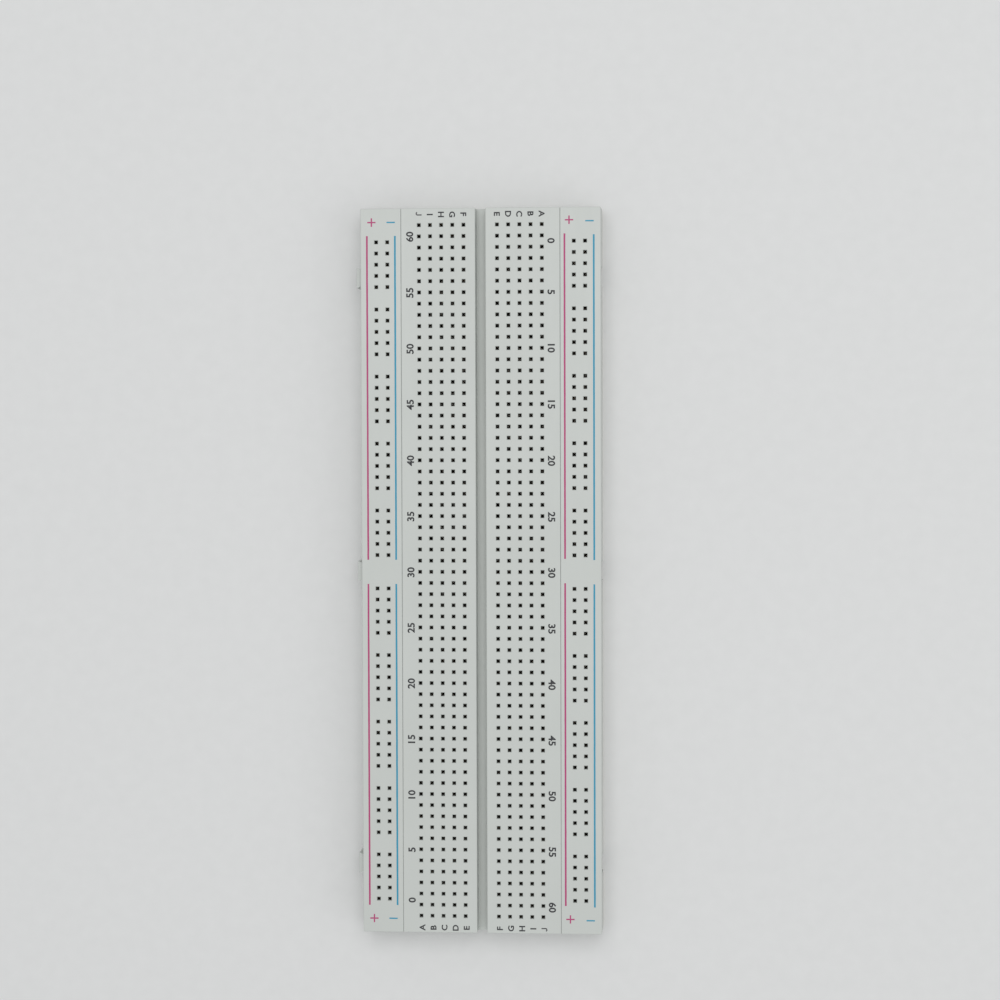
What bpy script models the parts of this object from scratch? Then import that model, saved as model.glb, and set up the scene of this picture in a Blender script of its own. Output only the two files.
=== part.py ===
"""Solderless breadboard with 830 tie points, in metres, +Z up and +Y along the columns.

A terminal strip with a centre channel stands between two power-rail strips. The strips hang
on one another by dovetail tabs, so each strip lifts straight up off the tabs of the strip on
its right. Every strip is a moulding with pockets below its deck, spring clips in the pockets,
a pad of adhesive foam and a release liner. The origin is in the plane that the liners rest on,
under the middle of the terminal strip.
"""

import bmesh
import bpy
from mathutils import Matrix, Vector

# Tie-point grid
PITCH = 0.00254
ROWS = 63
BANK_COLUMNS = 5
BANKS_APART = 3  # pitches between the innermost columns of the two banks
RAIL_COLUMNS = 2
GROUP_HOLES = 5  # tie points in one group of a rail
GROUP_STEP = 6  # pitches from one group of a rail to the next
FIRST_HOLE = 1.5  # pitches from the middle of a rail to its first tie point
RAIL_END_ROWS = 1  # rows at each end that a rail leaves free

# Mouldings
END_MARGIN = 0.00381
TERMINAL_SIDE_MARGIN = 0.00403
RAIL_OUTER_MARGIN = 0.00355
RAIL_INNER_MARGIN = 0.00306
BODY_HEIGHT = 0.0085
DECK = 0.0012
HOLE = 0.0010
POCKET_WIDTH = 0.0019
POCKET_OVERRUN = 0.0010  # from the centre of an outermost tie point to the pocket's end
CHANNEL_WIDTH = 0.0023
CHANNEL_DEPTH = 0.0035
EDGE_ROUND = 0.0003
STRIP_GAP = 0.00015
BANK_SPLIT = 0.00005

# Dovetail tabs and slots
TAB_REACH = 0.0012
TAB_HEAD = 0.0048
TAB_NECK = 0.0036
TAB_DROP = 0.0020  # from the deck's face down to the top of a tab
TAB_INSET = 0.01555  # from the end of a strip to the centre of its outer tab
TAB_ROOT = 0.0006  # how far a tab is sunk in the wall that carries it
SLOT_CLEARANCE = 0.00015

# Spring clips
SHEET = 0.0002
CLIP_SIDE_CLEARANCE = 0.0002
CLIP_END_CLEARANCE = 0.00015
CLIP_DROP = 0.0001  # from the moulding's underside down to the clips' common base
CLIP_BASE = 0.0001
CLIP_HEADROOM = 0.0009
CLIP_MOUTH = 0.0003
COMB_ROWS = 9  # rows whose clips share one base

# Backing
FOAM = 0.0008
LINER = 0.00012
LAYER_GAP = 0.0003
BACKING_INSET = 0.0002
FOAM_NOTCH = 0.0003  # how much wider the backing's notches are than the slots

CUT_PAST = 0.001  # how far a cutter runs past the face that it opens

STRIP_LENGTH = (ROWS - 1) * PITCH + 2 * END_MARGIN
INNER_COLUMN = BANKS_APART * PITCH / 2
OUTER_COLUMN = INNER_COLUMN + (BANK_COLUMNS - 1) * PITCH
TERMINAL_SIDE = OUTER_COLUMN + TERMINAL_SIDE_MARGIN
RAIL_INNER_SIDE = TERMINAL_SIDE + STRIP_GAP
RAIL_INNER_COLUMN = RAIL_INNER_SIDE + RAIL_INNER_MARGIN
RAIL_OUTER_COLUMN = RAIL_INNER_COLUMN + (RAIL_COLUMNS - 1) * PITCH
RAIL_OUTER_SIDE = RAIL_OUTER_COLUMN + RAIL_OUTER_MARGIN
LINER_TOP = LINER
FOAM_BOTTOM = LINER_TOP + LAYER_GAP
FOAM_TOP = FOAM_BOTTOM + FOAM
BODY_BOTTOM = FOAM_TOP + LAYER_GAP
BODY_TOP = BODY_BOTTOM + BODY_HEIGHT
POCKET_TOP = BODY_TOP - DECK
TAB_TOP = BODY_TOP - TAB_DROP
HALF_LENGTH = STRIP_LENGTH / 2
TAB_PLACES = (TAB_INSET - HALF_LENGTH, 0.0, HALF_LENGTH - TAB_INSET)

PARTS = "solderless_breadboard"
CUTTERS = "cutters"


def clear_scene():
    """Removes what the startup scene holds and makes the two collections."""
    for found in list(bpy.data.objects):
        bpy.data.objects.remove(found)
    for name in (PARTS, CUTTERS):
        bpy.context.scene.collection.children.link(bpy.data.collections.new(name))


def make_material(name, colour, roughness, metallic=0.0):
    """A Principled material of one colour."""
    material = bpy.data.materials.new(name)
    material.use_nodes = True
    shader = material.node_tree.nodes["Principled BSDF"]
    shader.inputs["Base Color"].default_value = (*colour, 1.0)
    shader.inputs["Roughness"].default_value = roughness
    shader.inputs["Metallic"].default_value = metallic
    return material


def add_object(name, mesh, collection, material=None):
    """Links a mesh to the scene as a named object."""
    thing = bpy.data.objects.new(name, mesh)
    bpy.data.collections[collection].objects.link(thing)
    if collection == CUTTERS:
        thing.hide_render = True
        thing.display_type = "WIRE"
    if material:
        mesh.materials.append(material)
    return thing


def add_box(shape, low, high):
    """Adds a box between two corners to a bmesh."""
    low, high = Vector(low), Vector(high)
    place = Matrix.Translation((low + high) / 2) @ Matrix.Diagonal((*(high - low), 1.0))
    bmesh.ops.create_cube(shape, size=1.0, matrix=place)


def boxes(name, corners, collection=CUTTERS, material=None):
    """One object of separate boxes, each given by its low and high corner."""
    shape = bmesh.new()
    for low, high in corners:
        add_box(shape, low, high)
    mesh = bpy.data.meshes.new(name)
    shape.to_mesh(mesh)
    shape.free()
    return add_object(name, mesh, collection, material)


def block(name, low, high, outer_sides, material):
    """A moulding's block whose edges are rounded between its deck and the given outer sides."""
    shape = bmesh.new()
    add_box(shape, low, high)
    outward = [Vector(side) for side in (*outer_sides, (0, 0, 1))]

    def is_outer(face):
        return any(face.normal.dot(side) > 0.9 for side in outward)

    shape.normal_update()
    edges = [e for e in shape.edges if all(is_outer(face) for face in e.link_faces)]
    bmesh.ops.bevel(shape, geom=edges, offset=EDGE_ROUND, segments=2, profile=0.5, affect="EDGES")
    mesh = bpy.data.meshes.new(name)
    shape.to_mesh(mesh)
    shape.free()
    return add_object(name, mesh, PARTS, material)


def extruded_outlines(name, outlines, length, place, collection, material=None):
    """Flat outlines drawn as one 2D curve, extruded by length and moved by the matrix place."""
    curve = bpy.data.curves.new(name, "CURVE")
    curve.dimensions = "2D"
    curve.fill_mode = "BOTH"
    curve.extrude = length / 2
    for outline in outlines:
        spline = curve.splines.new("POLY")
        spline.points.add(len(outline) - 1)
        for point, (x, y) in zip(spline.points, outline):
            point.co = (x, y, 0.0, 1.0)
        spline.use_cyclic_u = True
    drawn = bpy.data.objects.new(name + "_outline", curve)
    bpy.context.scene.collection.objects.link(drawn)
    bpy.context.view_layer.update()
    graph = bpy.context.evaluated_depsgraph_get()
    mesh = bpy.data.meshes.new_from_object(drawn.evaluated_get(graph))
    bpy.data.objects.remove(drawn)
    shape = bmesh.new()
    shape.from_mesh(mesh)
    bmesh.ops.remove_doubles(shape, verts=shape.verts, dist=1e-7)
    bmesh.ops.transform(shape, matrix=place, verts=shape.verts)
    bmesh.ops.recalc_face_normals(shape, faces=shape.faces)
    shape.to_mesh(mesh)
    shape.free()
    mesh.name = name
    return add_object(name, mesh, collection, material)


def boolean(target, other, operation="DIFFERENCE"):
    """Cuts other from target, or joins it on."""
    modifier = target.modifiers.new(other.name, "BOOLEAN")
    modifier.operation = operation
    modifier.object = other


def dovetail(name, side, root, reach, widen, bottom, top):
    """A dovetail at each tab place, standing to the left of the plane x = side, to join or to cut."""
    neck, head = TAB_NECK / 2 + widen, TAB_HEAD / 2 + widen
    slope = (head - neck) / reach
    root_half = neck - slope * root
    outlines = [
        [
            (side + root, y - root_half),
            (side + root, y + root_half),
            (side - reach, y + head),
            (side - reach, y - head),
        ]
        for y in TAB_PLACES
    ]
    place = Matrix.Translation((0, 0, (bottom + top) / 2))
    return extruded_outlines(name, outlines, top - bottom, place, CUTTERS)


def add_tabs(moulding, label, side):
    """Joins the dovetail tabs to the left side of a moulding."""
    tabs = dovetail(f"{label}_tabs", side, TAB_ROOT, TAB_REACH, 0.0, BODY_BOTTOM, TAB_TOP)
    boolean(moulding, tabs, "UNION")


def slot_cutter(label, side, widen, bottom, top):
    """The room for a neighbour's tabs in the right side of a strip, which ends at x = side."""
    reach = TAB_REACH + SLOT_CLEARANCE
    return dovetail(label, side + STRIP_GAP, CUT_PAST, reach, widen, bottom, top)


def add_slots(moulding, label, side):
    """Cuts the slots into the right side of a moulding, open at the underside."""
    bottom, top = BODY_BOTTOM - CUT_PAST, TAB_TOP + SLOT_CLEARANCE
    boolean(moulding, slot_cutter(f"{label}_slots", side, SLOT_CLEARANCE, bottom, top))


def row_places():
    """The y of each row of the terminal strip, row 1 first."""
    return [(row - (ROWS - 1) / 2) * PITCH for row in range(ROWS)]


def rail_half_places():
    """The y of each tie point on the far half of a rail, counted from the middle."""
    longest = (ROWS - 1) / 2 - RAIL_END_ROWS
    places = []
    start = FIRST_HOLE
    while start + GROUP_HOLES - 1 <= longest:
        places += [(start + hole) * PITCH for hole in range(GROUP_HOLES)]
        start += GROUP_STEP
    return places


def hole_corners(points):
    """Boxes that open a square tie point through the deck at each (x, y)."""
    reach = Vector((HOLE / 2, HOLE / 2, 0))
    low_z, high_z = POCKET_TOP - CUT_PAST / 2, BODY_TOP + CUT_PAST
    return [(Vector((x, y, low_z)) - reach, Vector((x, y, high_z)) + reach) for x, y in points]


def bank_pockets(columns):
    """A pocket across the columns of a bank at every row."""
    low_x, high_x = min(columns) - POCKET_OVERRUN, max(columns) + POCKET_OVERRUN
    return [
        (
            (low_x, y - POCKET_WIDTH / 2, BODY_BOTTOM - CUT_PAST),
            (high_x, y + POCKET_WIDTH / 2, POCKET_TOP),
        )
        for y in row_places()
    ]


def rail_pockets(columns):
    """A long pocket under each half of each rail."""
    places = rail_half_places()
    near, far = places[0] - POCKET_OVERRUN, places[-1] + POCKET_OVERRUN
    return [
        (
            (x - POCKET_WIDTH / 2, low, BODY_BOTTOM - CUT_PAST),
            (x + POCKET_WIDTH / 2, high, POCKET_TOP),
        )
        for x in columns
        for low, high in ((-far, -near), (near, far))
    ]


def make_terminal_strip(plastic):
    """The terminal strip's moulding, held as its two banks; the left one carries the channel floor."""
    half_channel = CHANNEL_WIDTH / 2
    ends = ((0, 1, 0), (0, -1, 0))
    left = block(
        "terminal_strip_left_bank",
        (-TERMINAL_SIDE, -HALF_LENGTH, BODY_BOTTOM),
        (half_channel - BANK_SPLIT, HALF_LENGTH, BODY_TOP),
        ((-1, 0, 0), *ends),
        plastic,
    )
    right = block(
        "terminal_strip_right_bank",
        (half_channel, -HALF_LENGTH, BODY_BOTTOM),
        (TERMINAL_SIDE, HALF_LENGTH, BODY_TOP),
        ((1, 0, 0), *ends),
        plastic,
    )
    channel = boxes(
        "channel_cutter",
        [
            (
                (-half_channel, -HALF_LENGTH - CUT_PAST, BODY_TOP - CHANNEL_DEPTH),
                (half_channel + CUT_PAST, HALF_LENGTH + CUT_PAST, BODY_TOP + CUT_PAST),
            )
        ],
    )
    boolean(left, channel)
    add_tabs(left, "terminal", -TERMINAL_SIDE)
    add_slots(right, "terminal", TERMINAL_SIDE)
    for bank, sign, label in ((left, -1, "left"), (right, 1, "right")):
        columns = [sign * (INNER_COLUMN + n * PITCH) for n in range(BANK_COLUMNS)]
        boolean(bank, boxes(f"{label}_bank_pockets", bank_pockets(columns)))
        points = [(x, y) for x in columns for y in row_places()]
        boolean(bank, boxes(f"{label}_bank_holes", hole_corners(points)))


def rail_sides(label):
    """The left and right side of a rail strip and the x of its columns, lowest first."""
    columns = [RAIL_INNER_COLUMN + n * PITCH for n in range(RAIL_COLUMNS)]
    if label == "left":
        return -RAIL_OUTER_SIDE, -RAIL_INNER_SIDE, [-x for x in reversed(columns)]
    return RAIL_INNER_SIDE, RAIL_OUTER_SIDE, columns


def make_rail_strip(label, plastic):
    """The moulding of one power-rail strip."""
    low, high, columns = rail_sides(label)
    strip = block(
        f"rail_strip_{label}",
        (low, -HALF_LENGTH, BODY_BOTTOM),
        (high, HALF_LENGTH, BODY_TOP),
        ((-1, 0, 0), (1, 0, 0), (0, 1, 0), (0, -1, 0)),
        plastic,
    )
    add_tabs(strip, f"rail_{label}", low)
    add_slots(strip, f"rail_{label}", high)
    boolean(strip, boxes(f"rail_{label}_pockets", rail_pockets(columns)))
    places = rail_half_places()
    points = [(x, sign * y) for x in columns for y in places for sign in (-1, 1)]
    boolean(strip, boxes(f"rail_{label}_holes", hole_corners(points)))


def leaf_points(y):
    """The section of the two leaves that stand on a base at y and lean together to their tips."""
    foot = POCKET_WIDTH / 2 - CLIP_SIDE_CLEARANCE
    base_top = BODY_BOTTOM - CLIP_DROP
    tip = POCKET_TOP - CLIP_HEADROOM
    half_mouth = CLIP_MOUTH / 2
    right = [(foot, base_top), (half_mouth + SHEET, tip), (half_mouth, tip), (foot - SHEET, base_top)]
    left = [(-offset, z) for offset, z in reversed(right)]
    return [(y + offset, z) for offset, z in right + left]


def clip_outline(places):
    """The section of the clips at the given places, lowest first, on the base that joins them."""
    foot = POCKET_WIDTH / 2 - CLIP_SIDE_CLEARANCE
    base_top = BODY_BOTTOM - CLIP_DROP
    low, high = places[0] - foot - SHEET, places[-1] + foot + SHEET
    leaves = [point for y in reversed(places) for point in leaf_points(y)]
    base_bottom = base_top - CLIP_BASE
    return [(low, base_bottom), (high, base_bottom), (high, base_top), *leaves, (low, base_top)]


def make_terminal_clips(metal):
    """Each row's clip in both banks, in combs of several rows that share a base."""
    across = POCKET_OVERRUN * 2 + (BANK_COLUMNS - 1) * PITCH - 2 * CLIP_END_CLEARANCE
    middle = (INNER_COLUMN + OUTER_COLUMN) / 2
    along_x = Matrix(((0, 0, 1, 0), (1, 0, 0, 0), (0, 1, 0, 0), (0, 0, 0, 1)))
    places = row_places()
    for sign, label in ((-1, "left"), (1, "right")):
        place = Matrix.Translation((sign * middle, 0, 0)) @ along_x
        for number, start in enumerate(range(0, ROWS, COMB_ROWS), start=1):
            outline = clip_outline(places[start:start + COMB_ROWS])
            name = f"row_clips_{label}_{number}"
            extruded_outlines(name, [outline], across, place, PARTS, metal)


def make_rail_clips(label, metal):
    """The four long clips of a rail strip: plus and minus, lower and upper half."""
    places = rail_half_places()
    length = places[-1] - places[0] + 2 * (POCKET_OVERRUN - CLIP_END_CLEARANCE)
    middle = (places[0] + places[-1]) / 2
    along_y = Matrix(((1, 0, 0, 0), (0, 0, -1, 0), (0, 1, 0, 0), (0, 0, 0, 1)))
    for x, pole in zip(rail_sides(label)[2], ("plus", "minus")):
        for sign, half in ((-1, "lower"), (1, "upper")):
            place = Matrix.Translation((x, sign * middle, 0)) @ along_y
            name = f"rail_clip_{label}_{pole}_{half}"
            extruded_outlines(name, [clip_outline([0.0])], length, place, PARTS, metal)


def make_backing(label, low, high, foam, paper):
    """The adhesive foam under a strip and its release liner, notched where the slots open."""
    widen = SLOT_CLEARANCE + FOAM_NOTCH
    notches = slot_cutter(f"backing_{label}_notches", high, widen, -CUT_PAST, BODY_BOTTOM)
    layers = (
        (f"foam_pad_{label}", FOAM_BOTTOM, FOAM_TOP, foam),
        (f"release_liner_{label}", 0.0, LINER_TOP, paper),
    )
    for name, bottom, top, material in layers:
        corners = [
            (
                (low + BACKING_INSET, BACKING_INSET - HALF_LENGTH, bottom),
                (high - BACKING_INSET, HALF_LENGTH - BACKING_INSET, top),
            )
        ]
        boolean(boxes(name, corners, PARTS, material), notches)


def main():
    """Builds the whole breadboard."""
    clear_scene()
    plastic = make_material("off_white_abs", (0.72, 0.73, 0.70), 0.45)
    metal = make_material("plated_spring_bronze", (0.62, 0.60, 0.55), 0.3, 1.0)
    foam = make_material("adhesive_foam", (0.86, 0.86, 0.84), 0.9)
    paper = make_material("liner_paper", (0.88, 0.84, 0.70), 0.6)
    make_terminal_strip(plastic)
    make_terminal_clips(metal)
    make_backing("terminal", -TERMINAL_SIDE, TERMINAL_SIDE, foam, paper)
    for label in ("left", "right"):
        low, high, _ = rail_sides(label)
        make_rail_strip(label, plastic)
        make_rail_clips(label, metal)
        make_backing(label, low, high, foam, paper)


main()
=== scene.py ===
"""The looks of a solderless breadboard with 830 tie points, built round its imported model.

Everything is in metres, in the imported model's frame: +Z up through the tie points, +Y along the
columns, +X from the left power rail to the right one. The mouldings, spring clips, foam pads and
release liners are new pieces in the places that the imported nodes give, and the print is thin ink
on the decks. Each piece rides on the body of its strip.
"""

import logging
import math
import random
from collections.abc import Callable, Iterable, Sequence
from dataclasses import dataclass, field
from enum import Enum
from typing import ClassVar

import bmesh
import bpy
from bmesh.types import BMEdge, BMesh, BMFace, BMVert
from bpy.types import Material, Mesh, Node, NodeSocket, NodeTree, Object
from mathutils import Matrix, Vector


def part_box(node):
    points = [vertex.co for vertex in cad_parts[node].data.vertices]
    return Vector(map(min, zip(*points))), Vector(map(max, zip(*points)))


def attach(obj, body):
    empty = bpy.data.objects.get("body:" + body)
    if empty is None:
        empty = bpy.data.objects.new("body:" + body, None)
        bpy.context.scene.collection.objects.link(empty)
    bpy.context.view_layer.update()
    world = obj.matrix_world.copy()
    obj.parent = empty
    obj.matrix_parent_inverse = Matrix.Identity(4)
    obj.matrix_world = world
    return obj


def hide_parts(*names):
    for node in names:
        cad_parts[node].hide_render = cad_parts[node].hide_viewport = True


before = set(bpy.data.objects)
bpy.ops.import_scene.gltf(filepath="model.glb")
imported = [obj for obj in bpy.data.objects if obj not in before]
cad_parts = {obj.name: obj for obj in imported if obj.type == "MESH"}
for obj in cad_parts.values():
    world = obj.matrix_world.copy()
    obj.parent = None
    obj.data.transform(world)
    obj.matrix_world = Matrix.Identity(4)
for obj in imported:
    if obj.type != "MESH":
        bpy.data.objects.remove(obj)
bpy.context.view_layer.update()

LOG = logging.getLogger("breadboard")
MM = 0.001
MERGE = 2e-6
INK_DEPTH = 0.016 * MM

Colour = tuple[float, float, float]
Point2 = tuple[float, float]
Bar = tuple[Point2, Point2]
Plane = tuple[Vector, Vector]
Sockets = dict[str, NodeSocket]


class Strip(Enum):
    """The three strips, each named for the body that it rides on."""

    RAIL_LEFT = "rail_left"
    TERMINAL = "terminal"
    RAIL_RIGHT = "rail_right"

    @property
    def label(self) -> str:
        """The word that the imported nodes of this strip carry."""
        return self.value.removeprefix("rail_")

    @property
    def moulding_nodes(self) -> tuple[str, ...]:
        """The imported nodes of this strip's moulding, from left to right."""
        if self is Strip.TERMINAL:
            return ("terminal_strip_left_bank", "terminal_strip_right_bank")
        return (f"rail_strip_{self.label}",)


class Slot(Enum):
    """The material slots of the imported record."""

    MOULDING = "moulding"
    CLIP = "spring_clip"
    FOAM = "adhesive_foam"
    LINER = "release_liner"


# ---------------------------------------------------------------- sizes


@dataclass(frozen=True)
class Grid:
    """The tie-point grid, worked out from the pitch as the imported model's is."""

    pitch: float = 2.54 * MM
    rows: int = 63
    bank_columns: int = 5
    banks_apart: int = 3
    group_holes: int = 5
    group_step: int = 6
    first_hole: float = 1.5
    groups: int = 5

    def row_places(self) -> list[float]:
        """The y of each terminal row, lowest first."""
        return [(row - (self.rows - 1) / 2) * self.pitch for row in range(self.rows)]

    def bank(self, side: int) -> list[float]:
        """The x of a bank's columns, lowest first.

        Args:
            side: -1 for the left bank and 1 for the right one.

        Returns:
            The x of each column.
        """
        inner = self.banks_apart / 2
        return sorted(side * (inner + n) * self.pitch for n in range(self.bank_columns))

    def rail_half(self, side: int) -> list[float]:
        """The y of the tie points on one half of a rail, lowest first.

        Args:
            side: -1 for the lower half and 1 for the upper one.

        Returns:
            The y of each tie point.
        """
        starts = (self.first_hole + group * self.group_step for group in range(self.groups))
        return sorted(side * (s + n) * self.pitch for s in starts for n in range(self.group_holes))


@dataclass(frozen=True)
class Levels:
    """The heights that the strips share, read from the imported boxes."""

    liner_top: float
    underside: float
    cad_top: float
    deck: float = 1.2 * MM

    @property
    def top(self) -> float:
        """The deck's face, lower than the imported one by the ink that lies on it."""
        return self.cad_top - INK_DEPTH

    @property
    def ceiling(self) -> float:
        """The top of the clip pockets."""
        return self.cad_top - self.deck


def read_levels() -> Levels:
    """Reads the shared heights from the right rail strip's nodes."""
    low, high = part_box("rail_strip_right")
    return Levels(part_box("release_liner_right")[1].z, low.z, high.z)


def nodes_of(prefix: str) -> list[str]:
    """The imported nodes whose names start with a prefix, in order."""
    return sorted(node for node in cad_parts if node.startswith(prefix))


# ---------------------------------------------------------------- mesh helpers


def finished(name: str, shape: BMesh) -> Object:
    """Turns a bmesh into an object at the origin, its doubles merged and its faces pointing out.

    Args:
        name: The piece's name.
        shape: The bmesh, which is freed.

    Returns:
        The new object.
    """
    bmesh.ops.remove_doubles(shape, verts=shape.verts, dist=MERGE)
    bmesh.ops.dissolve_degenerate(shape, edges=shape.edges, dist=MERGE / 10)
    bmesh.ops.recalc_face_normals(shape, faces=shape.faces)
    mesh = bpy.data.meshes.new(name)
    shape.to_mesh(mesh)
    shape.free()
    piece = bpy.data.objects.new(name, mesh)
    bpy.context.scene.collection.objects.link(piece)
    return piece


def register(piece: Object, strip: Strip, finish: Material, nodes: Sequence[str] = ()) -> None:
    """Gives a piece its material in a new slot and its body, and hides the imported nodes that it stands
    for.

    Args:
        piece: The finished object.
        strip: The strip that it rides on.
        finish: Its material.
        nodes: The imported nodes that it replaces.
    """
    piece.data.materials.append(finish)
    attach(piece, strip.value)
    if nodes:
        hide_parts(*nodes)
    LOG.info("%s rides on %s, %d faces", piece.name, strip.value, len(piece.data.polygons))


def picked(geom: Iterable[object], kind: type) -> list:
    """The elements of one kind among an operator's results."""
    return [element for element in geom if isinstance(element, kind)]


def prism(outline: Sequence[Point2], place: Callable[[Point2], Vector], run: Vector) -> BMesh:
    """Extrudes a closed outline into a solid.

    Args:
        outline: The outline's points.
        place: Puts an outline point in space.
        run: The extrusion.

    Returns:
        A new bmesh with the solid.
    """
    shape = bmesh.new()
    face = shape.faces.new([shape.verts.new(place(point)) for point in outline])
    grown = bmesh.ops.extrude_face_region(shape, geom=[face])["geom"]
    bmesh.ops.translate(shape, vec=run, verts=picked(grown, BMVert))
    bmesh.ops.recalc_face_normals(shape, faces=shape.faces)
    return shape


def soften(shape: BMesh, edges: list[BMEdge], offset: float, segments: int = 3) -> None:
    """Rounds edges.

    Args:
        shape: The bmesh.
        edges: The edges.
        offset: How far the rounding reaches from each edge.
        segments: The steps of the rounding.
    """
    bmesh.ops.bevel(
        shape, geom=edges, offset=offset, segments=segments, profile=0.5, affect="EDGES", material=-1
    )


def level_off(faces: Iterable[BMFace], height: float) -> None:
    """Moves faces to one height."""
    for vert in (v for face in faces for v in face.verts):
        vert.co.z = height


def drawn_to(shape: BMesh, faces: list[BMFace], height: float) -> list[BMFace]:
    """Extrudes faces one by one up or down to a height, and returns their moved copies."""
    moved = bmesh.ops.extrude_discrete_faces(shape, faces=faces)["faces"]
    level_off(moved, height)
    return moved


def scribe(shape: BMesh, faces: Iterable[BMFace], lines: Iterable[Plane]) -> list[BMFace]:
    """Divides flat faces along lines, each the trace of a plane.

    Args:
        shape: The bmesh.
        faces: The faces to divide.
        lines: A point on each cutting plane and its normal.

    Returns:
        The faces that the divided ones have become.
    """
    faces = list(faces)
    for point, normal in lines:
        edges = {e for f in faces for e in f.edges}
        verts = {v for f in faces for v in f.verts}
        cut = bmesh.ops.bisect_plane(
            shape, geom=[*faces, *edges, *verts], dist=MERGE / 10, plane_co=point, plane_no=normal
        )
        faces = picked(cut["geom"], BMFace)
    return faces


def lines_across(axis: int, places: Iterable[float]) -> list[Plane]:
    """Cutting planes square to one axis.

    Args:
        axis: 0 for x, 1 for y and 2 for z.
        places: Where each plane crosses the axis.

    Returns:
        The planes, as scribe takes them.
    """
    normal = Vector([float(n == axis) for n in range(3)])
    return [(normal * place, normal) for place in places]


def both_sides(places: Iterable[float], half: float) -> list[float]:
    """The two edges of each band that is centred on a place."""
    return [place + side * half for place in places for side in (-1, 1)]


def near_any(value: float, places: Sequence[float], reach: float) -> bool:
    """Whether a value is within reach of any of the places."""
    return any(abs(value - place) < reach for place in places)


# ---------------------------------------------------------------- mouldings


@dataclass(frozen=True)
class Tabs:
    """The dovetail tabs and slots that hang one strip on the next."""

    places: tuple[float, ...]
    reach: float = 1.2 * MM
    head: float = 4.8 * MM
    neck: float = 3.6 * MM
    drop: float = 2.0 * MM
    clearance: float = 0.15 * MM
    gap: float = 0.15 * MM


@dataclass(frozen=True)
class PocketField:
    """A field of tie points and the clip pockets below them."""

    columns: list[float]
    rows: list[float]
    low: Point2
    high: Point2
    per_row: bool

    @property
    def pocket_lines(self) -> list[float]:
        """The places across which the field's pockets repeat."""
        return self.rows if self.per_row else self.columns


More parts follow.
